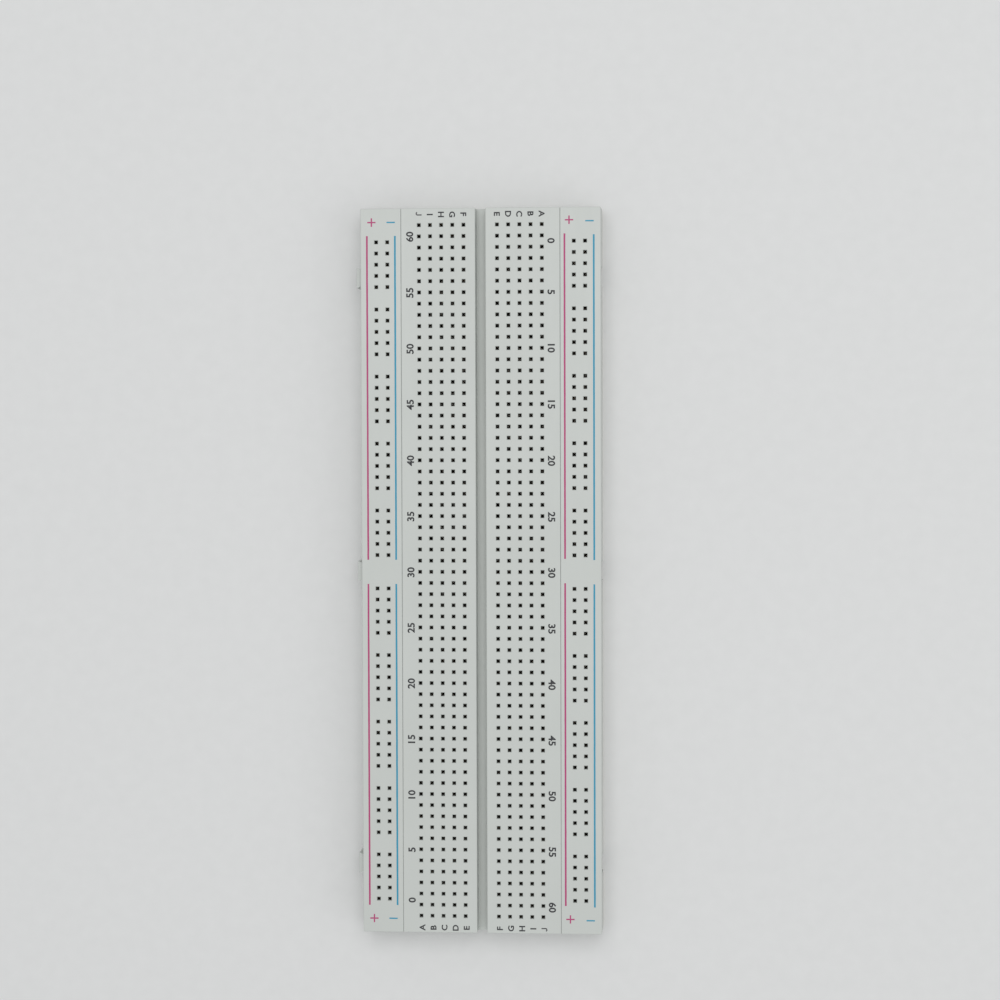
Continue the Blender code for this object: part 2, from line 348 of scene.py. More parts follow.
@dataclass
class Moulding:
    """A strip's moulding: a rounded block with tie points, clip pockets, tabs and slots.

    A side that meets another strip stands out by the seam's ease, so that hung strips close up
    on each other.
    """

    strip: Strip
    low: Vector
    high: Vector
    levels: Levels
    tabs: Tabs
    fields: list[PocketField]
    channel: float = 0.0
    channel_depth: float = 3.5 * MM
    round_off: float = 0.16 * MM
    seam_ease: float = 0.06 * MM
    bore: float = 0.8 * MM
    chamfer: float = 0.12 * MM
    pocket: float = 1.9 * MM
    tab_round: float = 0.15 * MM

    def __post_init__(self) -> None:
        """Starts with the plain block."""
        self.shape = self.block()

    @property
    def plain_area(self) -> float:
        """The area above which a face is the plain one around the pockets or the slots."""
        return (4 * self.pocket) ** 2

    @property
    def ease_left(self) -> float:
        """How far the left side stands out towards the next strip."""
        return 0.0 if self.strip is Strip.RAIL_LEFT else self.seam_ease

    @property
    def ease_right(self) -> float:
        """How far the right side stands out towards the next strip."""
        return 0.0 if self.strip is Strip.RAIL_RIGHT else self.seam_ease

    def outline(self) -> list[Point2]:
        """The strip's section across its length, with the centre channel if it has one.

        Returns:
            Its points, anticlockwise from the lower left corner.
        """
        left, right = self.low.x - self.ease_left, self.high.x + self.ease_right
        under, top = self.levels.underside, self.levels.top
        points = [(left, under), (right, under), (right, top)]
        if self.channel:
            half, floor = self.channel / 2, top - self.channel_depth
            points += [(half, top), (half, floor), (-half, floor), (-half, top)]
        return [*points, (left, top)]

    def block(self) -> BMesh:
        """The plain block with every edge above the underside rounded.

        Returns:
            A new bmesh with the block.
        """
        shape = prism(
            self.outline(),
            lambda point: Vector((point[0], self.low.y, point[1])),
            Vector((0, self.high.y - self.low.y, 0)),
        )
        under = self.levels.underside + MERGE
        soften(shape, [e for e in shape.edges if max(v.co.z for v in e.verts) > under], self.round_off)
        return shape

    def flat(self, axis: int, place: float) -> list[BMFace]:
        """The faces that lie square to an axis at a place.

        Args:
            axis: 0 for x, 1 for y and 2 for z.
            place: The faces' place on that axis.

        Returns:
            The faces.
        """
        return [f for f in self.shape.faces if all(abs(v.co[axis] - place) < MERGE for v in f.verts)]

    def raise_tabs(self) -> None:
        """Draws the dovetail tabs out of the left side."""
        tabs, side = self.tabs, self.low.x - self.ease_left
        top = self.levels.cad_top - tabs.drop
        faces = scribe(self.shape, self.flat(0, side), lines_across(2, [top]))
        band = [f for f in faces if f.calc_center_median().z < top]
        faces = scribe(self.shape, band, lines_across(1, both_sides(tabs.places, tabs.neck / 2)))
        patches = [f for f in faces if near_any(f.calc_center_median().y, tabs.places, tabs.neck / 4)]
        for patch in patches:
            centre = patch.calc_center_median().y
            drawn = bmesh.ops.extrude_discrete_faces(self.shape, faces=[patch])["faces"][0]
            for vert in drawn.verts:
                vert.co.x -= tabs.reach - self.ease_left
                vert.co.y = centre + (vert.co.y - centre) * tabs.head / tabs.neck
            under = self.levels.underside + MERGE
            edges = [e for e in drawn.edges if max(v.co.z for v in e.verts) > under]
            soften(self.shape, edges, self.tab_round, segments=2)

    def sink_slots(self) -> None:
        """Opens the slots for the next strip's tabs in the right side, from the underside up."""
        tabs, side = self.tabs, self.high.x + self.ease_right
        half_head = tabs.head / 2 + tabs.clearance
        half_neck = tabs.neck / 2 + tabs.clearance
        depth = tabs.reach + tabs.clearance
        flank = (half_head - half_neck) / depth
        inner, roof = self.high.x + tabs.gap - depth, self.levels.cad_top - tabs.drop + tabs.clearance
        mouth = half_neck + flank * (tabs.gap - self.ease_right)
        under = scribe(self.shape, self.flat(2, self.levels.underside), lines_across(0, [inner]))
        band = [f for f in under if f.calc_center_median().x > inner]
        flanks = [
            (Vector((side, place + sign * mouth, 0)), Vector((flank, sign, 0)))
            for place in tabs.places
            for sign in (-1, 1)
        ]
        band = scribe(self.shape, band, flanks)
        patches = [f for f in band if near_any(f.calc_center_median().y, tabs.places, half_neck / 2)]
        drawn_to(self.shape, patches, roof)
        wall = [f for f in self.flat(0, side) if f.calc_area() > self.plain_area]
        wall = scribe(self.shape, wall, lines_across(2, [roof]))
        below = [f for f in wall if f.calc_center_median().z < roof]
        scribe(self.shape, below, lines_across(1, both_sides(tabs.places, mouth)))
        mouths = [
            f
            for f in self.flat(0, side)
            if near_any(f.calc_center_median().y, tabs.places, half_neck / 2)
            and max(v.co.z for v in f.verts) < roof + MERGE
        ]
        bmesh.ops.delete(self.shape, geom=mouths, context="FACES")
        bmesh.ops.remove_doubles(self.shape, verts=self.shape.verts, dist=MERGE)

    def plain_part(self, level: float, field_: PocketField) -> list[BMFace]:
        """The part of a level's face that a field takes up, cut off from the rest.

        Args:
            level: The height of the face.
            field_: The field.

        Returns:
            The faces over or under the field.
        """
        plain = [f for f in self.flat(2, level) if f.calc_area() > self.plain_area]
        for axis in (1, 0):
            plain = scribe(self.shape, plain, lines_across(axis, (field_.low[axis], field_.high[axis])))
        centres = [(f, f.calc_center_bounds()) for f in plain]
        return [
            f
            for f, centre in centres
            if field_.low[1] < centre.y < field_.high[1] and field_.low[0] < centre.x < field_.high[0]
        ]

    def sink_pockets(self, field_: PocketField) -> None:
        """Sinks a field's clip pockets into the underside.

        Args:
            field_: The field.
        """
        across = 1 if field_.per_row else 0
        bands = both_sides(field_.pocket_lines, self.pocket / 2)
        under = self.plain_part(self.levels.underside, field_)
        faces = scribe(self.shape, under, lines_across(across, bands))
        pockets = [
            f
            for f in faces
            if near_any(f.calc_center_median()[across], field_.pocket_lines, self.pocket / 4)
        ]
        faces = drawn_to(self.shape, pockets, self.levels.ceiling)
        for axis, places in enumerate((field_.columns, field_.rows)):
            faces = scribe(self.shape, faces, lines_across(axis, both_sides(places, self.bore / 2)))
        holes = [f for f in faces if self.is_tie_point(f, field_)]
        bmesh.ops.delete(self.shape, geom=holes, context="FACES")

    def is_tie_point(self, face: BMFace, field_: PocketField) -> bool:
        """Whether a face is the square of one of a field's tie points.

        Args:
            face: The face.
            field_: The field.

        Returns:
            True if its middle is that of a tie point.
        """
        centre = face.calc_center_median()
        reach = self.bore / 4
        return near_any(centre.x, field_.columns, reach) and near_any(centre.y, field_.rows, reach)

    def open_tie_points(self, field_: PocketField) -> None:
        """Opens a field's square tie points, with a lead-in chamfer, down to the pockets.

        Args:
            field_: The field.
        """
        half = self.bore / 2 + self.chamfer
        deck = self.plain_part(self.levels.top, field_)
        deck = scribe(self.shape, deck, lines_across(0, both_sides(field_.columns, half)))
        deck = [f for f in deck if near_any(f.calc_center_median().x, field_.columns, half)]
        deck = scribe(self.shape, deck, lines_across(1, both_sides(field_.rows, half)))
        mouths = [f for f in deck if self.is_tie_point(f, field_)]
        bmesh.ops.inset_individual(self.shape, faces=mouths, thickness=self.chamfer, use_even_offset=True)
        level_off(mouths, self.levels.top - self.chamfer)
        shafts = drawn_to(self.shape, mouths, self.levels.ceiling)
        bmesh.ops.delete(self.shape, geom=shafts, context="FACES")

    def build(self) -> Object:
        """Builds the moulding.

        Returns:
            The finished object.
        """
        self.raise_tabs()
        self.sink_slots()
        for field_ in self.fields:
            self.sink_pockets(field_)
            self.open_tie_points(field_)
        return finished(f"{self.strip.value}_moulding", self.shape)


# ---------------------------------------------------------------- spring clips


@dataclass
class SpringClips:
    """Sheet-metal clips: a trough with a pair of sprung fingers under each tie point.

    Each run gives the places of one clip's fingers along the axis (0 for x, 1 for y) that the
    clip lies on, and each line is a place across that axis where the runs are repeated.
    """

    name: str
    along: int
    runs: list[list[float]]
    lines: list[float]
    levels: Levels
    sheet: float = 0.2 * MM
    finger: float = 1.7 * MM
    foot: float = 0.68 * MM
    trough: Point2 = (0.58 * MM, 2.0 * MM)
    pinch: Point2 = (0.09 * MM, 1.5 * MM)
    lip: Point2 = (0.34 * MM, 0.7 * MM)
    lift: float = 0.1 * MM

    def section(self) -> list[Point2]:
        """One half of the clip's section, from the middle of its base out and up to the lip.

        Returns:
            The half width and height of each bend, the trough's counted up from the base, and
            the pinch's and lip's down from the pocket's ceiling.
        """
        base, ceiling = self.levels.underside + self.lift, self.levels.ceiling
        bends = [(0.0, base), (self.foot, base), (self.trough[0], base + self.trough[1])]
        return bends + [(half, ceiling - drop) for half, drop in (self.pinch, self.lip)]

    def one(self, centres: Sequence[float]) -> BMesh:
        """One clip lying along x on the plane y = 0.

        Args:
            centres: The places of its fingers.

        Returns:
            A new bmesh with the clip.
        """
        shape = bmesh.new()
        section, stations = self.section(), both_sides(centres, self.finger / 2)
        slit_level = section[2][1]
        verts = [shape.verts.new((stations[0], y, z)) for y, z in section]
        edges = [shape.edges.new(pair) for pair in zip(verts, verts[1:])]
        for number, (start, stop) in enumerate(zip(stations, stations[1:])):
            grown = bmesh.ops.extrude_edge_only(shape, edges=edges)["geom"]
            bmesh.ops.translate(shape, vec=(stop - start, 0, 0), verts=picked(grown, BMVert))
            edges = [e for e in picked(grown, BMEdge) if all(v.co.x > stop - MERGE for v in e.verts)]
            if number % 2:
                slit = [
                    f
                    for f in shape.faces
                    if start < f.calc_center_median().x < stop and f.calc_center_median().z > slit_level
                ]
                bmesh.ops.delete(shape, geom=slit, context="FACES_ONLY")
        half = list(shape.verts) + list(shape.edges) + list(shape.faces)
        twin = bmesh.ops.duplicate(shape, geom=half)["geom"]
        bmesh.ops.scale(shape, vec=(1, -1, 1), verts=picked(twin, BMVert))
        bmesh.ops.remove_doubles(shape, verts=shape.verts, dist=MERGE)
        loose = [e for e in shape.edges if not e.link_faces]
        bmesh.ops.delete(shape, geom=loose, context="EDGES")
        bmesh.ops.recalc_face_normals(shape, faces=shape.faces)
        if min(shape.faces, key=lambda f: f.calc_center_median().z).normal.z < 0:
            bmesh.ops.reverse_faces(shape, faces=shape.faces)
        bmesh.ops.solidify(shape, geom=shape.faces, thickness=self.sheet)
        return shape

    def build(self) -> Object:
        """Builds every clip of the field.

        Returns:
            The finished object.
        """
        shape = bmesh.new()
        turn = Matrix.Identity(4) if self.along == 0 else Matrix.Rotation(math.pi / 2, 4, "Z")
        for centres in self.runs:
            clip = self.one(centres)
            mesh = bpy.data.meshes.new("clip")
            clip.to_mesh(mesh)
            clip.free()
            for line in self.lines:
                place = Vector((0, line, 0)) if self.along == 0 else Vector((line, 0, 0))
                shape.from_mesh(mesh)
                fresh = shape.verts[-len(mesh.vertices):]
                bmesh.ops.transform(shape, matrix=Matrix.Translation(place) @ turn, verts=fresh)
            bpy.data.meshes.remove(mesh)
        return finished(self.name, shape)


# ---------------------------------------------------------------- print


class Turn(Enum):
    """The way a printed text is turned on the deck, in degrees."""

    CLOCKWISE = -90
    COUNTERCLOCKWISE = 90


@dataclass(frozen=True)
class Label:
    """A printed letter or number."""

    text: str
    place: Point2
    turn: Turn
    cap: float


@dataclass
class Print:
    """Thin ink on the decks: labels, and bars for the stripes and signs.

    The weight added to the letters, and the stroke and hook of the J, are in heights of a capital.
    """

    levels: Levels
    rough_edge: float = 0.012 * MM
    bar_step: float = 1.2 * MM
    curve_steps: int = 4
    weight: float = 0.026
    stretch: float = 1.08
    stroke: float = 0.17
    hook: float = 0.29
    hook_turn: float = 165.0
    hook_steps: int = 12
    seed: int = 5

    def hooked_j(self) -> Mesh:
        """The letter J as one stroke with a wide hook, in heights of a capital.

        Returns:
            A new flat mesh.
        """
        shape = bmesh.new()
        ends = [shape.verts.new((x, 1, 0)) for x in (-self.stroke, 0)]
        top = shape.edges.new(ends)
        grown = bmesh.ops.extrude_edge_only(shape, edges=[top])["geom"]
        low = picked(grown, BMVert)
        bmesh.ops.translate(shape, vec=(0, self.hook - 1, 0), verts=low)
        bmesh.ops.spin(
            shape,
            geom=low + picked(grown, BMEdge),
            cent=(-self.hook, self.hook, 0),
            axis=(0, 0, -1),
            angle=math.radians(self.hook_turn),
            steps=self.hook_steps,
        )
        mesh = bpy.data.meshes.new("letter_j")
        shape.to_mesh(mesh)
        shape.free()
        return mesh

    def typed(self, text: str) -> Mesh:
        """A text as a flat mesh in Blender's own face.

        Args:
            text: The text.

        Returns:
            A new flat mesh.
        """
        curve = bpy.data.curves.new("label", "FONT")
        curve.body = text
        curve.resolution_u = self.curve_steps
        curve.offset = self.weight
        curve.align_x, curve.align_y = "CENTER", "CENTER"
        typed = bpy.data.objects.new("label", curve)
        bpy.context.scene.collection.objects.link(typed)
        bpy.context.view_layer.update()
        graph = bpy.context.evaluated_depsgraph_get()
        mesh = bpy.data.meshes.new_from_object(typed.evaluated_get(graph))
        bpy.data.objects.remove(typed)
        bpy.data.curves.remove(curve)
        return mesh

    def glyphs(self, label: Label) -> Mesh:
        """The mesh of one label, centred on its place and turned.

        Args:
            label: The label.

        Returns:
            A new mesh.
        """
        mesh = self.hooked_j() if label.text == "J" else self.typed(label.text)
        heights = [v.co.y for v in mesh.vertices]
        widths = [v.co.x for v in mesh.vertices]
        middle = Vector(((max(widths) + min(widths)) / 2, (max(heights) + min(heights)) / 2, 0))
        size = label.cap / (max(heights) - min(heights))
        place = Matrix.Translation((*label.place, self.levels.top))
        spin = Matrix.Rotation(math.radians(label.turn.value), 4, "Z")
        scale = Matrix.Diagonal((size * self.stretch, size, size, 1))
        mesh.transform(place @ spin @ scale @ Matrix.Translation(-middle))
        return mesh

    def lettering(self, name: str, labels: Sequence[Label]) -> Object:
        """Builds one piece from labels.

        Args:
            name: The piece's name.
            labels: The labels.

        Returns:
            The finished object.
        """
        shape = bmesh.new()
        for label in labels:
            mesh = self.glyphs(label)
            shape.from_mesh(mesh)
            bpy.data.meshes.remove(mesh)
        return self.thickened(name, shape)

    def bars(self, name: str, bars: Sequence[Bar]) -> Object:
        """Builds one piece from straight bars with slightly uneven edges.

        Args:
            name: The piece's name.
            bars: The centre and size of each bar.

        Returns:
            The finished object.
        """
        shape = bmesh.new()
        rng = random.Random(self.seed)
        for (x, y), (width, length) in bars:
            steps = max(1, round(length / self.bar_step))
            place = Matrix.Translation((x, y, self.levels.top)) @ Matrix.Diagonal((width, length, 1, 1))
            grid = bmesh.ops.create_grid(shape, x_segments=1, y_segments=steps, size=0.5, matrix=place)
            for vert in grid["verts"]:
                vert.co.x += rng.uniform(-self.rough_edge, self.rough_edge)
                vert.co.y += rng.uniform(-self.rough_edge, self.rough_edge)
        return self.thickened(name, shape)

    def thickened(self, name: str, shape: BMesh) -> Object:
        """Gives flat ink its depth, standing on the deck.

        Args:
            name: The piece's name.
            shape: The flat ink, which is freed.

        Returns:
            The finished object.
        """
        bmesh.ops.remove_doubles(shape, verts=shape.verts, dist=MERGE / 10)
        grown = bmesh.ops.extrude_face_region(shape, geom=list(shape.faces), use_keep_orig=True)["geom"]
        bmesh.ops.translate(shape, vec=(0, 0, INK_DEPTH), verts=picked(grown, BMVert))
        return finished(name, shape)


@dataclass(frozen=True)
class RailPrint:
    """Where a rail strip's stripes and signs lie, from the strip's middle line."""

    red: float
    blue: float
    plus: float
    minus: float
    red_rise: float = 0.0
    stripe: float = 0.39 * MM
    stripe_ends: Point2 = (2.75 * MM, 76.35 * MM)
    sign: float = 1.9 * MM
    stroke: float = 0.3 * MM
    sign_place: float = 79.4 * MM

    def stripe_bars(self, x: float, rise: float) -> list[Bar]:
        """A stripe's two runs.

        Args:
            x: The stripe's place across the board.
            rise: How far both runs are printed off centre along the board.

        Returns:
            The bars.
        """
        near, far = self.stripe_ends
        return [((x, side * (near + far) / 2 + rise), (self.stripe, far - near)) for side in (-1, 1)]

    def plus_bars(self, middle: float) -> list[Bar]:
        """The plus signs at both ends, as bars that don't overlap.

        Args:
            middle: The strip's middle line.

        Returns:
            The bars.
        """
        arm = (self.sign - self.stroke) / 2
        reach = (self.stroke + arm) / 2
        bars: list[Bar] = []
        for side in (-1, 1):
            x, y = middle + self.plus, side * self.sign_place + self.red_rise
            bars.append(((x, y), (self.stroke, self.sign)))
            bars += [((x + hand * reach, y), (arm, self.stroke)) for hand in (-1, 1)]
        return bars

    def minus_bars(self, middle: float) -> list[Bar]:
        """The minus signs at both ends."""
        x = middle + self.minus
        return [((x, side * self.sign_place), (self.sign, self.stroke)) for side in (-1, 1)]


# ---------------------------------------------------------------- backing


@dataclass
class Backing:
    """A layer below a strip, notched where the tabs of its neighbour come through.

    Its cut edges are uneven all the way round, and less so at its two faces.
    """

    name: str
    low: Vector
    high: Vector
    side: float
    tabs: Tabs
    layers: int
    edge_round: float
    uneven: float
    seed: int
    widen: float = 0.45 * MM
    step: float = 3.0 * MM
    end_band: float = 1.0 * MM
    face_share: float = 0.35

    def outline(self) -> list[Point2]:
        """The layer's outline with its notches.

        Returns:
            Its points, anticlockwise from the lower left corner.
        """
        tabs = self.tabs
        depth = tabs.reach + tabs.clearance
        flank = (tabs.head - tabs.neck) / 2 / depth
        inner = self.side + tabs.gap - depth
        half_head = tabs.head / 2 + self.widen
        half_mouth = half_head - flank * (self.high.x - inner)
        points = [(self.low.x, self.low.y), (self.high.x, self.low.y)]
        for place in sorted(tabs.places):
            points += [
                (self.high.x, place - half_mouth),
                (inner, place - half_head),
                (inner, place + half_head),
                (self.high.x, place + half_mouth),
            ]
        return [*points, (self.high.x, self.high.y), (self.low.x, self.high.y)]

    def build(self) -> Object:
        """Builds the layer, its cut edges a little uneven.

        Returns:
            The finished object.
        """
        shape = prism(
            self.outline(),
            lambda point: Vector((*point, self.low.z)),
            Vector((0, 0, self.high.z - self.low.z)),
        )
        corners = [e for e in shape.edges if abs(e.verts[0].co.z - e.verts[1].co.z) > MERGE]
        soften(shape, corners, self.edge_round)
        count = int((self.high.y - self.low.y) / self.step)
        lines = [self.low.y + self.step * (n + 0.5) for n in range(count)]
        sides = [f for f in shape.faces if abs(f.normal.x) > 0.99 and f.calc_area() > self.step**2]
        scribe(shape, sides, lines_across(1, lines))
        heights = [
            self.low.z + (self.high.z - self.low.z) * (n + 1) / (self.layers + 1) for n in range(self.layers)
        ]
        walls = [f for f in shape.faces if abs(f.normal.z) < 0.5]
        scribe(shape, walls, lines_across(2, heights))
        self.roughen(shape)
        return finished(self.name, shape)

    def roughen(self, shape: BMesh) -> None:
        """Moves the cut edges inward by uneven amounts.

        Args:
            shape: The bmesh.
        """
        rng = random.Random(self.seed)
        bottom, top = self.low.z + MERGE, self.high.z - MERGE
        middle = (self.low.x + self.high.x) / 2
        for vert in shape.verts:
            share = 1.0 if bottom < vert.co.z < top else self.face_share
            across, along = (share * rng.uniform(0, self.uneven) for _ in range(2))
            vert.co.x += -across if vert.co.x > middle else across
            if abs(vert.co.y) > self.high.y - self.end_band:
                vert.co.y -= math.copysign(along, vert.co.y)


# ---------------------------------------------------------------- finishes


@dataclass
class Sketch:
    """Adds and joins the nodes of one tree."""

    tree: NodeTree
    octave_share: ClassVar[float] = 0.55

    def add(
        self,
        kind: str,
        values: dict[str, object] | None = None,
        links: dict[str | int, NodeSocket] | None = None,
        settings: dict[str, object] | None = None,
    ) -> Node:
        """Adds a node.

        Args:
            kind: The node's type, without its ShaderNode prefix.
            values: Constant values of its inputs.
            links: Outputs of other nodes that feed its inputs.
            settings: Its properties.

        Returns:
            The node.
        """
        node = self.tree.nodes.new(kind if kind.startswith("Node") else f"ShaderNode{kind}")
        for key, value in (settings or {}).items():
            setattr(node, key, value)
        for key, value in (values or {}).items():
            node.inputs[key].default_value = value
        for key, socket in (links or {}).items():
            self.tree.links.new(socket, node.inputs[key])
        return node

    def noise(self, vector: NodeSocket, scale: NodeSocket | float, detail: float) -> NodeSocket:
        """Adds fractal noise.

        Args:
            vector: The coordinates.
            scale: The noise's scale, as a number or an output.
            detail: Its octaves.

        Returns:
            The noise, from 0 to 1.
        """
        values = {"Detail": detail, "Roughness": self.octave_share}
        node = self.add("TexNoise", values, {"Vector": vector})
        if isinstance(scale, NodeSocket):
            self.tree.links.new(scale, node.inputs["Scale"])
        else:
            node.inputs["Scale"].default_value = scale
        return node.outputs[0]

    def spread(self, socket: NodeSocket, low: float, high: float) -> NodeSocket:
        """Maps a value from 0 to 1 onto a range."""
        values = {"To Min": low, "To Max": high}
        return self.add("MapRange", values, {"Value": socket}).outputs["Result"]

    def blend(self, mask: NodeSocket, low: Colour, high: Colour) -> NodeSocket:
        """Mixes two colours by a mask.

        Args:
            mask: The mask, from 0 to 1.
            low: The colour where it is 0.
            high: The colour where it is 1.

        Returns:
            The mixed colour.
        """
        node = self.add("Mix", settings={"data_type": "RGBA"})
        colours = [s for s in node.inputs if s.type == "RGBA"]
        colours[0].default_value = (*low, 1.0)
        colours[1].default_value = (*high, 1.0)
        self.tree.links.new(mask, node.inputs["Factor"])
        return next(s for s in node.outputs if s.type == "RGBA")

    def group(self, tree: NodeTree, values: dict[str, float]) -> Node:
        """Places a node group that reads Object coordinates.

        Args:
            tree: The group.
            values: The values of its inputs.

        Returns:
            The group node.
        """
        coordinates = self.add("TexCoord").outputs["Object"]
        node = self.add("Group", settings={"node_tree": tree})
        for key, value in values.items():
            node.inputs[key].default_value = value
        self.tree.links.new(coordinates, node.inputs["Vector"])
        return node


def new_group(
    name: str, inputs: dict[str, float], outputs: Sequence[str]
) -> tuple[Sketch, Sockets, Sockets]:
    """Starts a node group with a Vector input, the named number inputs and number outputs.

    Args:
        name: The group's name.
        inputs: The number inputs and their defaults.
        outputs: The outputs' names.

    Returns:
        The sketch of its tree, its input sockets by name, and its output sockets by name.
    """
    tree = bpy.data.node_groups.new(name, "ShaderNodeTree")
    tree.interface.new_socket("Vector", in_out="INPUT", socket_type="NodeSocketVector")
    for key, value in inputs.items():
        tree.interface.new_socket(key, in_out="INPUT", socket_type="NodeSocketFloat").default_value = value
    for key in outputs:
        tree.interface.new_socket(key, in_out="OUTPUT", socket_type="NodeSocketFloat")
    sketch = Sketch(tree)
    start, end = sketch.add("NodeGroupInput"), sketch.add("NodeGroupOutput")
    return sketch, {s.name: s for s in start.outputs}, {s.name: s for s in end.inputs}


def grain_group() -> NodeTree:
    """Grain over a slow mottle: Mask is the mottle, and Height the grain with waves in the surface.

    Returns:
        The group's tree.
    """
    inputs = {"Grain": 4000.0, "Mottle": 60.0, "Waves": 0.0}
    sketch, given, out = new_group("grain", inputs, ("Mask", "Height"))
    fine = sketch.noise(given["Vector"], given["Grain"], 2.0)
    slow = sketch.noise(given["Vector"], given["Mottle"], 4.0)
    waves = sketch.add("Math", links={0: slow, 1: given["Waves"]}, settings={"operation": "MULTIPLY"})
    height = sketch.add("Math", links={0: fine, 1: waves.outputs["Value"]}, settings={"operation": "ADD"})
    sketch.tree.links.new(slow, out["Mask"])
    sketch.tree.links.new(height.outputs["Value"], out["Height"])
    return sketch.tree


def streak_group() -> NodeTree:
    """Fine streaks drawn out along one axis, as rubbing and rolling leave them.

    Returns:
        The group's tree.
    """
    sketch, given, out = new_group("streaks", {"Across": 3000.0, "Along": 120.0}, ("Mask",))
    scale = sketch.add("CombineXYZ", links={"X": given["Across"], "Y": given["Along"], "Z": given["Across"]})
    factors = {0: given["Vector"], 1: scale.outputs["Vector"]}
    stretched = sketch.add("VectorMath", links=factors, settings={"operation": "MULTIPLY"})
    sketch.tree.links.new(sketch.noise(stretched.outputs["Vector"], 1.0, 3.0), out["Mask"])
    return sketch.tree


def cell_group() -> NodeTree:
    """Foam cells: Mask and Height are low in the middle of a cell and rise to its wall; the foam paints Mask
    into its colour as shade in the hollows.

    Returns:
        The group's tree.
    """
    sketch, given, out = new_group("foam_cells_and_painted_shade", {"Cells": 3500.0}, ("Mask", "Height"))
    links = {"Vector": given["Vector"], "Scale": given["Cells"]}
    cells = sketch.add("TexVoronoi", {"Randomness": 1.0}, links, {"feature": "F1"})
    for name in ("Height", "Mask"):
        sketch.tree.links.new(cells.outputs["Distance"], out[name])
    return sketch.tree


@dataclass
class Effects:
    """The node groups that the finishes share."""

    grain: NodeTree = field(default_factory=grain_group)
    streaks: NodeTree = field(default_factory=streak_group)
    cells: NodeTree = field(default_factory=cell_group)


@dataclass(frozen=True)
class Marks:
    """What a finish draws on a surface: where it lightens and dulls, and its relief in metres."""

    light: NodeSocket
    dull: NodeSocket
    height: NodeSocket
    strength: float
    depth: float


@dataclass(frozen=True)
class Finish:
    """What the finishes have in common: a name, two tints and a range of roughness."""

    name: str
    light: Colour
    dark: Colour
    smooth: float
    rough: float
    constants: ClassVar[dict[str, float]] = {}

    def marks(self, sketch: Sketch, effects: Effects) -> Marks:
        """Places the shared effects that this finish uses."""
        raise NotImplementedError

    def make(self, effects: Effects) -> Material:
        """Makes the material.

        Args:
            effects: The shared effects.

        Returns:
            The new material.
        """
        material = bpy.data.materials.new(self.name)
        material.use_nodes = True
        material.diffuse_color = (*self.light, 1.0)
        sketch, shader = Sketch(material.node_tree), material.node_tree.nodes["Principled BSDF"]
        marks = self.marks(sketch, effects)
        relief = {"Strength": marks.strength, "Distance": marks.depth}
        joined = {
            "Base Color": sketch.blend(marks.light, self.dark, self.light),
            "Roughness": sketch.spread(marks.dull, self.smooth, self.rough),
            "Normal": sketch.add("Bump", relief, {"Height": marks.height}).outputs["Normal"],
        }
        for key, socket in joined.items():
            sketch.tree.links.new(socket, shader.inputs[key])
        for key, value in self.constants.items():
            shader.inputs[key].default_value = value
        return material


@dataclass(frozen=True)
class MouldedPlastic(Finish):
    """ABS with a fine spark-eroded grain, a slow mottle and rubbed patches."""

    constants: ClassVar[dict[str, float]] = {"IOR": 1.52}

    def marks(self, sketch: Sketch, effects: Effects) -> Marks:
        """Places the grain and the rubbed patches."""
        grain = sketch.group(effects.grain, {"Grain": 4200.0, "Mottle": 45.0, "Waves": 2.5}).outputs
        rubbed = sketch.group(effects.streaks, {"Across": 700.0, "Along": 90.0}).outputs
        return Marks(grain["Mask"], rubbed["Mask"], grain["Height"], strength=0.6, depth=0.03 * MM)


@dataclass(frozen=True)
class PlatedSheet(Finish):
    """Plated spring bronze: bright, rolled along its length, with dull patches."""

    constants: ClassVar[dict[str, float]] = {"Metallic": 1.0}

    def marks(self, sketch: Sketch, effects: Effects) -> Marks:
        """Places the rolling marks and the dull patches."""
        rolled = sketch.group(effects.streaks, {"Across": 9000.0, "Along": 500.0}).outputs["Mask"]
        patches = sketch.group(effects.grain, {"Grain": 9000.0, "Mottle": 420.0}).outputs
        return Marks(patches["Mask"], rolled, rolled, strength=0.2, depth=0.004 * MM)


@dataclass(frozen=True)
class ScreenInk(Finish):
    """Screen-printed ink, a little uneven in its cover."""

    def marks(self, sketch: Sketch, effects: Effects) -> Marks:
        """Places the uneven cover."""
        cover = sketch.group(effects.grain, {"Grain": 9000.0, "Mottle": 2600.0}).outputs
        return Marks(cover["Mask"], cover["Mask"], cover["Height"], strength=0.25, depth=0.006 * MM)


@dataclass(frozen=True)
class CellFoam(Finish):
    """Closed-cell foam whose cut edges show the cells, with painted shade darkening the hollow middle of
    each cell.
    """

    def marks(self, sketch: Sketch, effects: Effects) -> Marks:
        """Places the cells, whose hollows get painted shade, and a mottle."""
        # painted shade: the cells' Mask darkens the colour in each cell's hollow middle, where the bump is
        # lowest
        cells = sketch.group(effects.cells, {"Cells": 4200.0}).outputs
        mottle = sketch.group(effects.grain, {"Grain": 6000.0, "Mottle": 160.0}).outputs
        return Marks(cells["Mask"], mottle["Mask"], cells["Height"], strength=0.8, depth=0.09 * MM)


@dataclass(frozen=True)
class WaxedPaper(Finish):
    """Release paper: long fibres under a thin slick coat."""

    constants: ClassVar[dict[str, float]] = {"Coat Weight": 0.3, "Coat Roughness": 0.25}

    def marks(self, sketch: Sketch, effects: Effects) -> Marks:
        """Places the fibres and a cloudy tint."""
        fibres = sketch.group(effects.streaks, {"Across": 2600.0, "Along": 380.0}).outputs["Mask"]
        cloud = sketch.group(effects.grain, {"Grain": 3000.0, "Mottle": 210.0}).outputs
        return Marks(cloud["Mask"], fibres, fibres, strength=0.4, depth=0.02 * MM)


